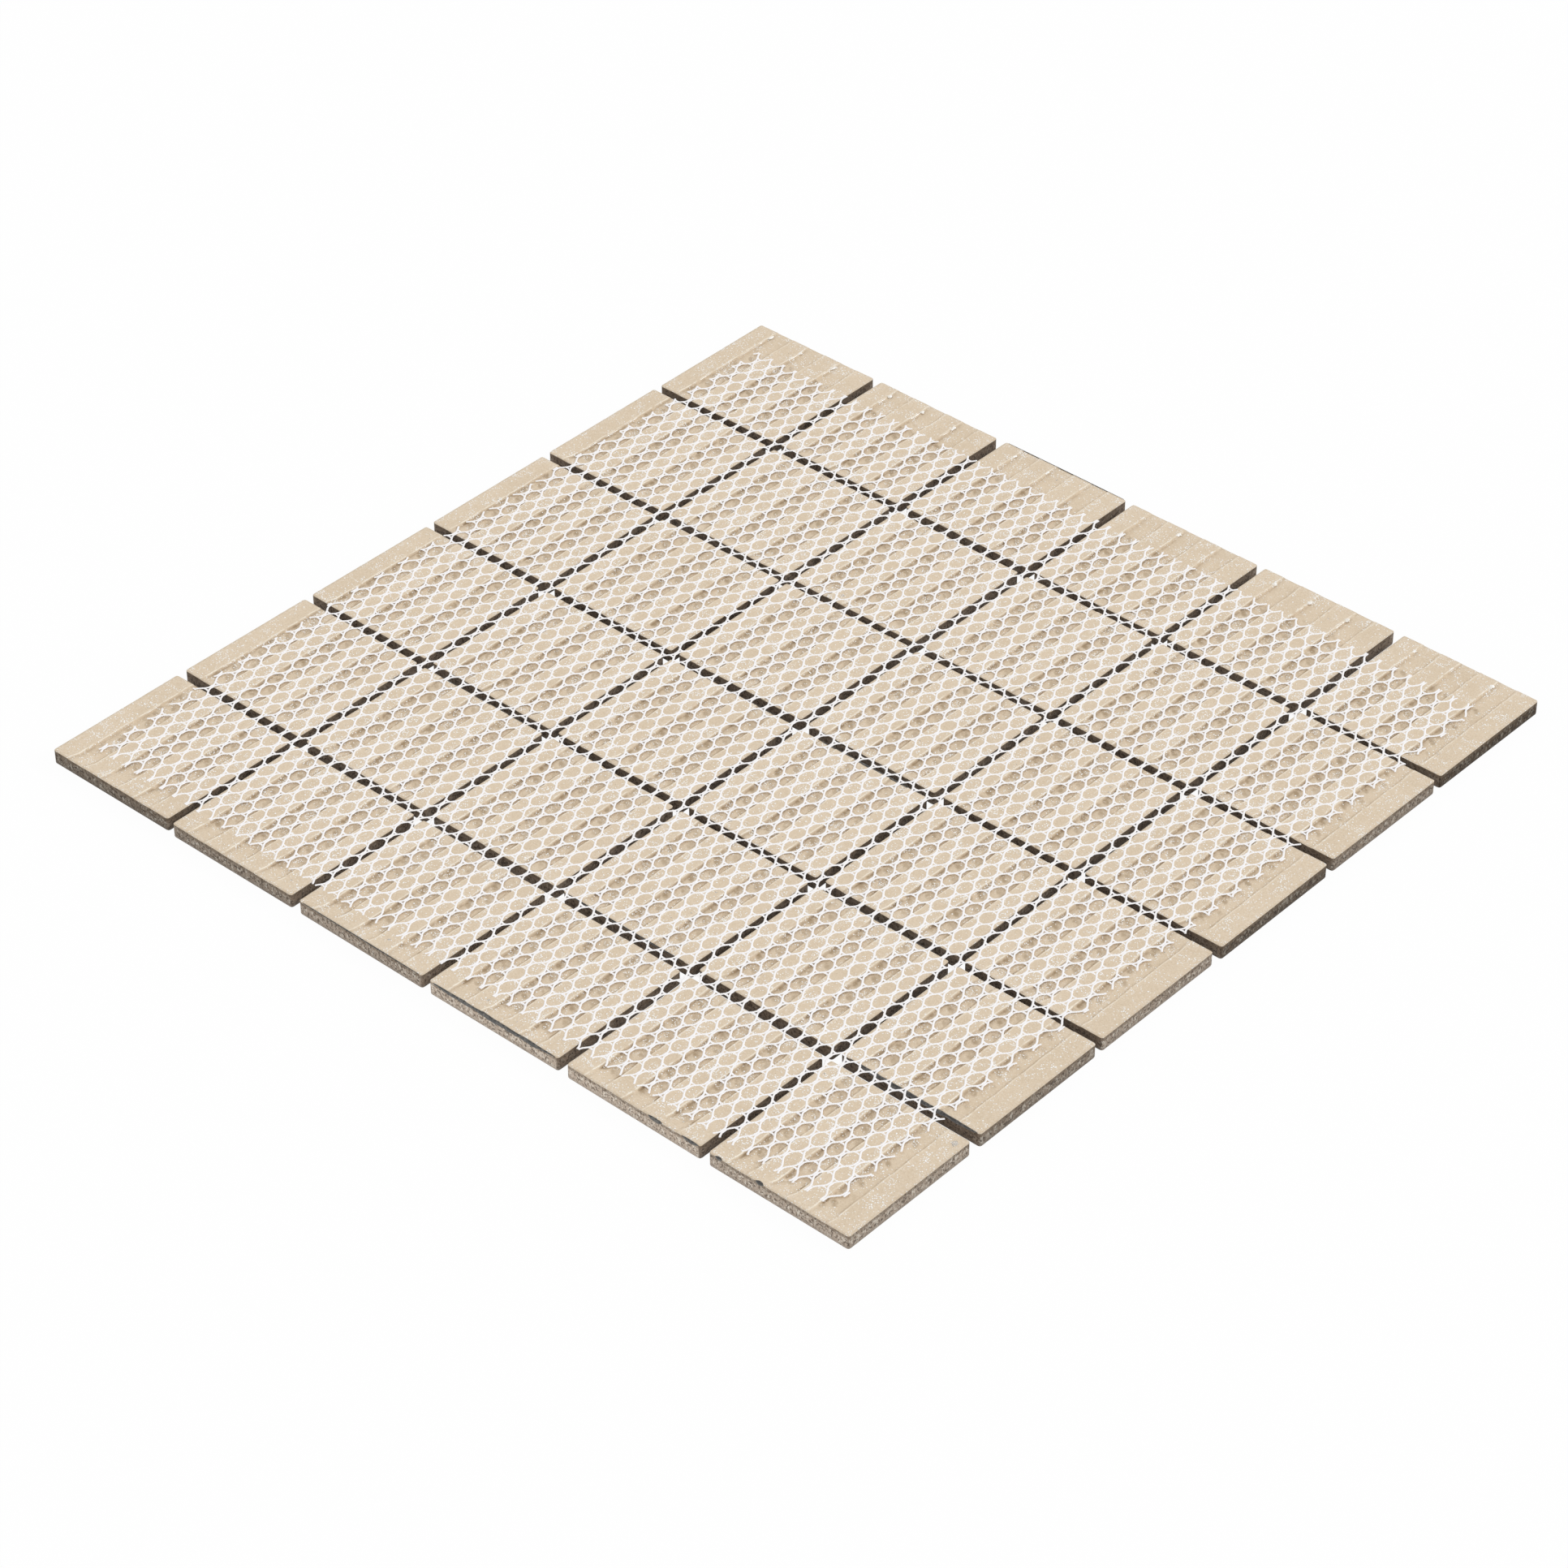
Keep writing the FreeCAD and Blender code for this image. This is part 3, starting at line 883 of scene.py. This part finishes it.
def tube_faces(stations, sides):
    """Quads round a tube whose points are numbered ring by ring, and its two end caps."""
    number = np.arange(stations * sides).reshape(stations, sides)
    after = np.roll(number, -1, axis=1)
    quads = np.stack([number[:-1], number[1:], after[1:], after[:-1]], axis=-1).reshape(-1, 4)
    return quads, np.stack([number[0], number[-1, ::-1]])


def thread_tube(wale, side, rows):
    """Flat thread carried along its course: ring points, side quads, end caps and their map.

    A ring is a six-cornered section, low and broad with its foot in the glue. It
    swells by a bell curve at the middle of each leg and a little on the slant. A
    cosine of the row coordinate lifts it over one neighbour and under the next.
    """
    across, _, step, over = thread_course(wale, side, rows)
    x, y = to_sheet(across, rows)
    width = THREAD_HALF_WIDTH + LEG_SWELL * bell(step, 0.0, LEG_SWELL_REACH)
    width = width + 4.0 * SLANT_SWELL * over * (1.0 - over)
    heading = np.stack([np.gradient(x), np.gradient(y)], axis=-1)
    heading /= np.linalg.norm(heading, axis=1)[:, None]
    sideways = THREAD_SECTION[:, 0][None, :] * width[:, None]
    ring_x = x[:, None] + sideways * heading[:, 1][:, None]
    ring_y = y[:, None] - sideways * heading[:, 0][:, None]
    lift = THREAD_LIFT * side * np.cos(2.0 * math.pi * rows)
    ring_z = TILE_TOP + lift[:, None] + THREAD_SECTION[:, 1][None, :]
    points = np.stack([ring_x, ring_y, ring_z], axis=-1).reshape(-1, 3)
    sides = len(THREAD_SECTION)
    quads, caps = tube_faces(len(rows), sides)
    length = np.concatenate([[0.0], np.cumsum(np.hypot(np.diff(x), np.diff(y)))])
    low = np.broadcast_to(np.arange(sides) / sides, (len(rows) - 1, sides))
    near = np.broadcast_to(length[:-1, None], low.shape)
    far = np.broadcast_to(length[1:, None], low.shape)
    high = low + 1.0 / sides
    uv = np.stack([near, low, far, low, far, high, near, high], axis=-1).reshape(-1, 2)
    return points, quads, caps, uv


def leg_loops(first, last):
    """Small loops of thread that close the fork at each end of every leg of some rows.

    A loop is a four-sided tube through three points: its ends lie on the two
    slanting threads and its middle lies deeper in the fork, so that it rounds the
    end of the opening.
    """
    rows, wales = np.meshgrid(np.arange(first, last), np.array(WALES), indexing="ij")
    rows, wales = rows.ravel(), wales.ravel()
    middle = CELL_PITCH * (wales + np.mod(rows, 2) / 2.0)
    ends = np.array([-1.0, 1.0])
    path_across = np.array([-LOOP_SIDE, 0.0, LOOP_SIDE])
    path_along = np.array(LOOP_REACH)
    half_width = np.array(LOOP_HALF_WIDTHS)
    corner_out = np.array([1.0, 0.0, -1.0, 0.0])
    corner_up = np.array([0.0, 1.0, 0.0, -1.0])
    along = path_along[:, None] + half_width[:, None] * corner_out
    across = np.broadcast_to(path_across[:, None], along.shape)
    shape = (len(rows), 2) + along.shape
    all_across = np.broadcast_to(middle[:, None, None, None] + across, shape)
    all_rows = rows[:, None, None, None] + ends[:, None, None] * along / ROW_PITCH
    x, y = to_sheet(all_across, all_rows)
    inside = inside_cut(x, y).min(axis=(1, 2, 3)) > LOOP_ROOM
    z = TILE_TOP - LOOP_SINK + LOOP_HALF_HEIGHT * np.broadcast_to(corner_up, shape)
    points = np.stack([x, y, z], axis=-1)[inside]
    # A leg's front loop mirrors its back loop, so its stations are reversed to keep its faces outwards
    points[:, 0] = points[:, 0, ::-1]
    stations, sides = along.shape
    faces = np.concatenate(tube_faces(stations, sides))
    starts = stations * sides * np.arange(len(points) * len(ends))
    quads = (faces[None] + starts[:, None, None]).reshape(-1, 4)
    return points.reshape(-1, 3), quads


def make_net(material):
    """The whole net, band by band as the frame has it; each band is its threads' tubes side by side."""
    for number, (first, last) in enumerate(zip(BAND_ROWS, BAND_ROWS[1:]), start=1):
        rows = np.concatenate([(np.arange(first, last)[:, None] + ROW_STATIONS).ravel(), [last]])
        points, quads, caps, uvs = [], [], [], []
        total = 0
        for wale in WALES:
            for side in (1, -1):
                _, axis, _, _ = thread_course(wale, side, rows)
                room = inside_cut(*to_sheet(axis, rows))
                for run in kept_runs(room, rows):
                    tube, faces, ends, uv = thread_tube(wale, side, run)
                    points.append(tube)
                    quads.append(faces + total)
                    caps.append(ends + total)
                    uvs.append(uv)
                    total += len(tube)
        loops, loop_quads = leg_loops(first, last)
        points.append(loops)
        quads, caps = np.concatenate(quads), np.concatenate(caps)
        loop_quads = loop_quads + total
        uv = np.concatenate(uvs + [np.zeros((caps.size + loop_quads.size, 2))])
        groups = [(quads, 0), (caps, 0), (loop_quads, 0)]
        piece = add_piece(f"net_threads_{number:02d}", np.concatenate(points), groups, [material], 50.0, uv)
        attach(piece, "root")
        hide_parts(f"net_band_{number:02d}")


def on_own_tile(x, y):
    """A place in the sheet as a place on the tile it falls on, leaving out each tile's own small shift."""
    return np.mod(x - TILE_LOW[0], TILE_PITCH), np.mod(y - TILE_LOW[1], TILE_PITCH)


def surface_height(x, y):
    """Height of the sheet's backs at a place in the sheet."""
    return TILE_TOP + back_relief(*on_own_tile(x, y), 3.0)


def drops(x, y, size, height):
    """Many small domes at once: one tip, two rings and one point below each, their outlines made uneven.

    A ring's point lies at its drop's size times the ring's share, made up to a
    third larger or smaller at random; heights fall as one minus the share squared.
    """
    corners = 6
    shares = np.array([0.55, 1.0])
    angle = 2.0 * math.pi * np.arange(corners) / corners + RANDOM.uniform(0.0, 6.0, (len(x), 1, 1))
    uneven = 1.0 + 0.35 * RANDOM.uniform(-1.0, 1.0, (len(x), 1, corners))
    reach = size[:, None, None] * shares[None, :, None] * uneven
    ring_x = x[:, None, None] + reach * np.cos(angle)
    ring_y = y[:, None, None] + reach * np.sin(angle)
    fall = (1.0 - shares**2)[None, :, None] * height[:, None, None]
    surface = surface_height(x, y)
    ring_z = np.broadcast_to(surface[:, None, None] - 0.02 + fall, ring_x.shape)
    rings = np.stack([ring_x, ring_y, ring_z], axis=-1).reshape(len(x), -1, 3)
    tips = np.stack([x, y, surface + height], axis=-1)[:, None, :]
    bottoms = np.stack([x, y, surface - 0.03], axis=-1)[:, None, :]
    points = np.concatenate([tips, rings, bottoms], axis=1)
    each = points.shape[1]
    inner = 1 + np.arange(corners)
    outer = inner + corners
    inner_next, outer_next = np.roll(inner, -1), np.roll(outer, -1)
    top = np.stack([np.zeros(corners, dtype=int), inner, inner_next], axis=-1)
    under = np.stack([np.full(corners, each - 1), outer_next, outer], axis=-1)
    flank = np.stack([inner, outer, outer_next, inner_next], axis=-1)
    start = each * np.arange(len(x))[:, None, None]
    triangles = (np.concatenate([top, under])[None] + start).reshape(-1, 3)
    quads = (flank[None] + start).reshape(-1, 4)
    return points.reshape(-1, 3), triangles, quads


def make_glue_specks(material):
    """Dried glue specks over the backs, most of them small."""
    x = RANDOM.uniform(NET_LEFT - SPECKS_PAST_SIDES, NET_RIGHT + SPECKS_PAST_SIDES, SPECK_COUNT)
    y = RANDOM.uniform(NET_FRONT - SPECKS_PAST_FRONT, NET_BACK + SPECKS_PAST_BACK, SPECK_COUNT)
    clear_of_joints = edge_distance(*on_own_tile(x, y)) > SPECK_ROOM
    on_tile = clear_of_joints & (np.abs(x) < SHEET_HALF) & (np.abs(y) < SHEET_HALF)
    x, y = x[on_tile], y[on_tile]
    size = SPECK_SIZE + SPECK_SPREAD * RANDOM.uniform(0.0, 1.0, len(x)) ** 3
    x, y = np.append(x, GLUE_FLECKS[:, 0]), np.append(y, GLUE_FLECKS[:, 1])
    size = np.append(size, GLUE_FLECKS[:, 2])
    points, triangles, quads = drops(x, y, size, SPECK_HEIGHT_SHARE * size)
    piece = add_piece("glue_specks", points, [(triangles, 0), (quads, 0)], [material], 60.0)
    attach(piece, "root")


def carried(section, path):
    """Closed tube: the section's points, one row a station, along the path; quads and two end caps."""
    quads, caps = tube_faces(*section.shape[:2])
    return (section + path[:, None, :]).reshape(-1, 3), quads, caps


def glaze_run(edge, start, stop, reach, drop):
    """Glaze that ran over a tile's front (0) or back (1) edge, in the tile's own coordinates.

    The section is a low cap over the edge. It reaches in over the back and hangs
    down the side by amounts that rise and fall as random values averaged over
    five stations, and die away as the root of a half sine at the run's two ends.
    """
    stations = max(6, int((stop - start) / 0.8))
    share = np.linspace(0.0, 1.0, stations)
    ends = np.sin(np.pi * share) ** 0.5
    inward = 0.05 + reach * ends * (0.25 + 1.5 * averaged_draws(0.0, 1.0, stations, 5))
    down = 0.10 + drop * ends * (0.25 + 1.5 * averaged_draws(0.0, 1.0, stations, 5))
    out = 0.04 + 0.08 * ends
    zero = np.zeros(stations)
    outward = np.stack([-inward, -0.3 * inward, out, out, zero + 0.01, zero - 0.15], axis=1)
    height = np.stack([zero - 0.03, out - 0.03, zero - 0.06, -0.6 * down, -down, zero - 0.25], axis=1)
    sign = 1.0 if edge else -1.0
    if not edge:
        outward, height = outward[:, ::-1], height[:, ::-1]
    section = np.stack([np.zeros_like(outward), sign * outward, height], axis=-1)
    line = TILE_SIDE if edge else 0.0
    path = np.stack([start + share * (stop - start), zero + line, zero + TILE_TOP], axis=-1)
    return carried(section, path)


def joined(parts):
    """Several tubes as one list of points with their faces renumbered."""
    points = np.concatenate([part[0] for part in parts])
    starts = np.cumsum([0] + [len(part[0]) for part in parts[:-1]])
    quads = np.concatenate([part[1] + start for part, start in zip(parts, starts)])
    caps = np.concatenate([part[2] + start for part, start in zip(parts, starts)])
    return points, quads, caps


def make_glaze_runs(places, material):
    """Dark glaze left on some edges."""
    parts = []
    for row, column, edge, start, stop, reach, drop in GLAZE_RUNS:
        points, quads, caps = glaze_run(edge, start, stop, reach, drop)
        parts.append((lay(points, *places[row, column]), quads, caps))
    points, quads, caps = joined(parts)
    piece = add_piece("glaze_runs", points, [(quads, 0), (caps, 0)], [material], 50.0)
    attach(piece, "root")


def glue_streak(x, start, stop, width):
    """Bumpy ridge of glue along a step: a low four-cornered section that swells and wanders at random."""
    stations = max(8, int((stop - start) / 0.45))
    share = np.linspace(0.0, 1.0, stations)
    ends = 0.15 + 0.85 * np.sin(np.pi * share) ** 0.4
    half = width * ends * RANDOM.uniform(0.45, 1.3, stations)
    high = 0.5 * half * RANDOM.uniform(0.4, 1.5, stations)
    wander = 0.12 * averaged_draws(-1.0, 1.0, stations, 3)
    zero = np.zeros(stations)
    sideways = np.stack([half, 0.2 * half, -half, zero], axis=1)
    height = np.stack([zero - 0.05, high, zero - 0.05, zero - 0.12], axis=1)
    section = np.stack([sideways, np.zeros_like(sideways), height], axis=-1)
    y = start + share * (stop - start)
    _, tile_y = on_own_tile(x, y)
    path = np.stack([x + wander, y, TILE_TOP - 0.1 * GROOVE_DEPTH * groove_fade(tile_y)], axis=-1)
    return carried(section, path)


def make_glue_streaks(material):
    """Glue squeezed along the steps past the net's left and back edges."""
    parts = []
    for column in range(TILES_X):
        for groove in range(GROOVES):
            x = TILE_LOW[0] + column * TILE_PITCH + FIRST_LAND + groove * GROOVE_PITCH
            y = TILE_LOW[1] + (TILES_Y - 1) * TILE_PITCH + RANDOM.uniform(*STREAK_START)
            stop = y + RANDOM.uniform(*STREAK_LENGTH)
            parts.append(glue_streak(x, y, stop, RANDOM.uniform(*STREAK_WIDTH)))
            y += RANDOM.uniform(*BLOB_GAP)
            x += RANDOM.uniform(*BLOB_ASIDE)
            stop = y + RANDOM.uniform(*BLOB_LENGTH)
            parts.append(glue_streak(x, y, stop, RANDOM.uniform(*BLOB_WIDTH)))
    for row in range(TILES_Y):
        y = TILE_LOW[1] + row * TILE_PITCH + RANDOM.uniform(*SIDE_START)
        for _ in range(SIDE_STREAKS):
            stop = y + RANDOM.uniform(*SIDE_LENGTH)
            x = TILE_LOW[0] + FIRST_LAND + RANDOM.uniform(*SIDE_ASIDE)
            parts.append(glue_streak(x, y, stop, RANDOM.uniform(*SIDE_WIDTH)))
            y = stop + RANDOM.uniform(*SIDE_GAP)
    points, quads, caps = joined(parts)
    piece = add_piece("glue_streaks", points, [(quads, 0), (caps, 0)], [material], 30.0)
    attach(piece, "root")


def make_floor():
    """Plain pale floor that shows white and keeps a faint shadow."""
    corners = np.array([[-1.0, -1.0, 0.0], [1.0, -1.0, 0.0], [1.0, 1.0, 0.0], [-1.0, 1.0, 0.0]])
    material = bpy.data.materials.new("pale_floor")
    material.use_nodes = True
    tree = material.node_tree
    tree.nodes.clear()
    paint = tree.nodes.new("ShaderNodeBsdfDiffuse")
    paint.inputs["Color"].default_value = FLOOR_PAINT
    glow = tree.nodes.new("ShaderNodeEmission")
    glow.inputs["Strength"].default_value = 1.0
    mix = tree.nodes.new("ShaderNodeMixShader")
    tree.links.new(calc(tree, "MULTIPLY", seen_directly(tree), FLOOR_WHITE), mix.inputs["Fac"])
    tree.links.new(paint.outputs["BSDF"], mix.inputs[1])
    tree.links.new(glow.outputs["Emission"], mix.inputs[2])
    out = tree.nodes.new("ShaderNodeOutputMaterial")
    tree.links.new(mix.outputs["Shader"], out.inputs["Surface"])
    floor = add_piece("floor", corners * FLOOR_HALF / MM, [(np.array([[0, 1, 2, 3]]), 0)], [material])


def direction(azimuth_deg, elevation_deg):
    """Direction at an azimuth, which turns from the front to the right, and an elevation over the floor."""
    azimuth, elevation = math.radians(azimuth_deg), math.radians(elevation_deg)
    return Vector((
        math.sin(azimuth) * math.cos(elevation),
        -math.cos(azimuth) * math.cos(elevation),
        math.sin(elevation),
    ))


def add_facing(name, data, aim, back, distance):
    """Lamp or camera set back from the point it looks at."""
    holder = bpy.data.objects.new(name, data)
    bpy.context.scene.collection.objects.link(holder)
    holder.location = Vector(aim) + back * distance
    holder.rotation_euler = (-back).to_track_quat("-Z", "Y").to_euler()
    return holder


def make_light():
    """Even pale sky and a soft lamp behind the sheet."""
    world = bpy.data.worlds.new("sky")
    bpy.context.scene.world = world
    world.use_nodes = True
    tree = world.node_tree
    sky = tree.nodes["Background"]
    strength = calc(tree, "ADD", calc(tree, "MULTIPLY", seen_directly(tree), 1.0 - SKY), SKY)
    tree.links.new(strength, sky.inputs["Strength"])
    sky.inputs["Color"].default_value = (1.0, 1.0, 1.0, 1.0)
    for name, azimuth_deg, elevation_deg, share in LAMPS:
        back = direction(azimuth_deg, elevation_deg)
        lamp = bpy.data.lights.new(name, "SUN")
        lamp.energy = share * math.pi / back.z
        lamp.angle = math.radians(LAMP_SPREAD_DEG)
        add_facing(name, lamp, (0.0, 0.0, 0.0), back, 1.0)


def make_camera():
    """Camera at the given azimuth, elevation and distance from the point it looks at."""
    camera = bpy.data.cameras.new("camera")
    camera.sensor_width = SENSOR_WIDTH
    camera.lens = LENS
    back = direction(VIEW_AZIMUTH, VIEW_ELEVATION)
    bpy.context.scene.camera = add_facing("camera", camera, VIEW_AIM, back, VIEW_DISTANCE)


bpy.context.scene.view_settings.view_transform = "Standard"
make_camera()
make_light()
make_floor()
tile_places = make_tiles([biscuit_material(), fired_edge_material(), glazed_face_material()])
make_net(thread_material())
make_glue_specks(glue_material("clear_glue", 0.6))
make_glue_streaks(glue_material("milky_glue", 0.0))
make_glaze_runs(tile_places, spilt_glaze_material())
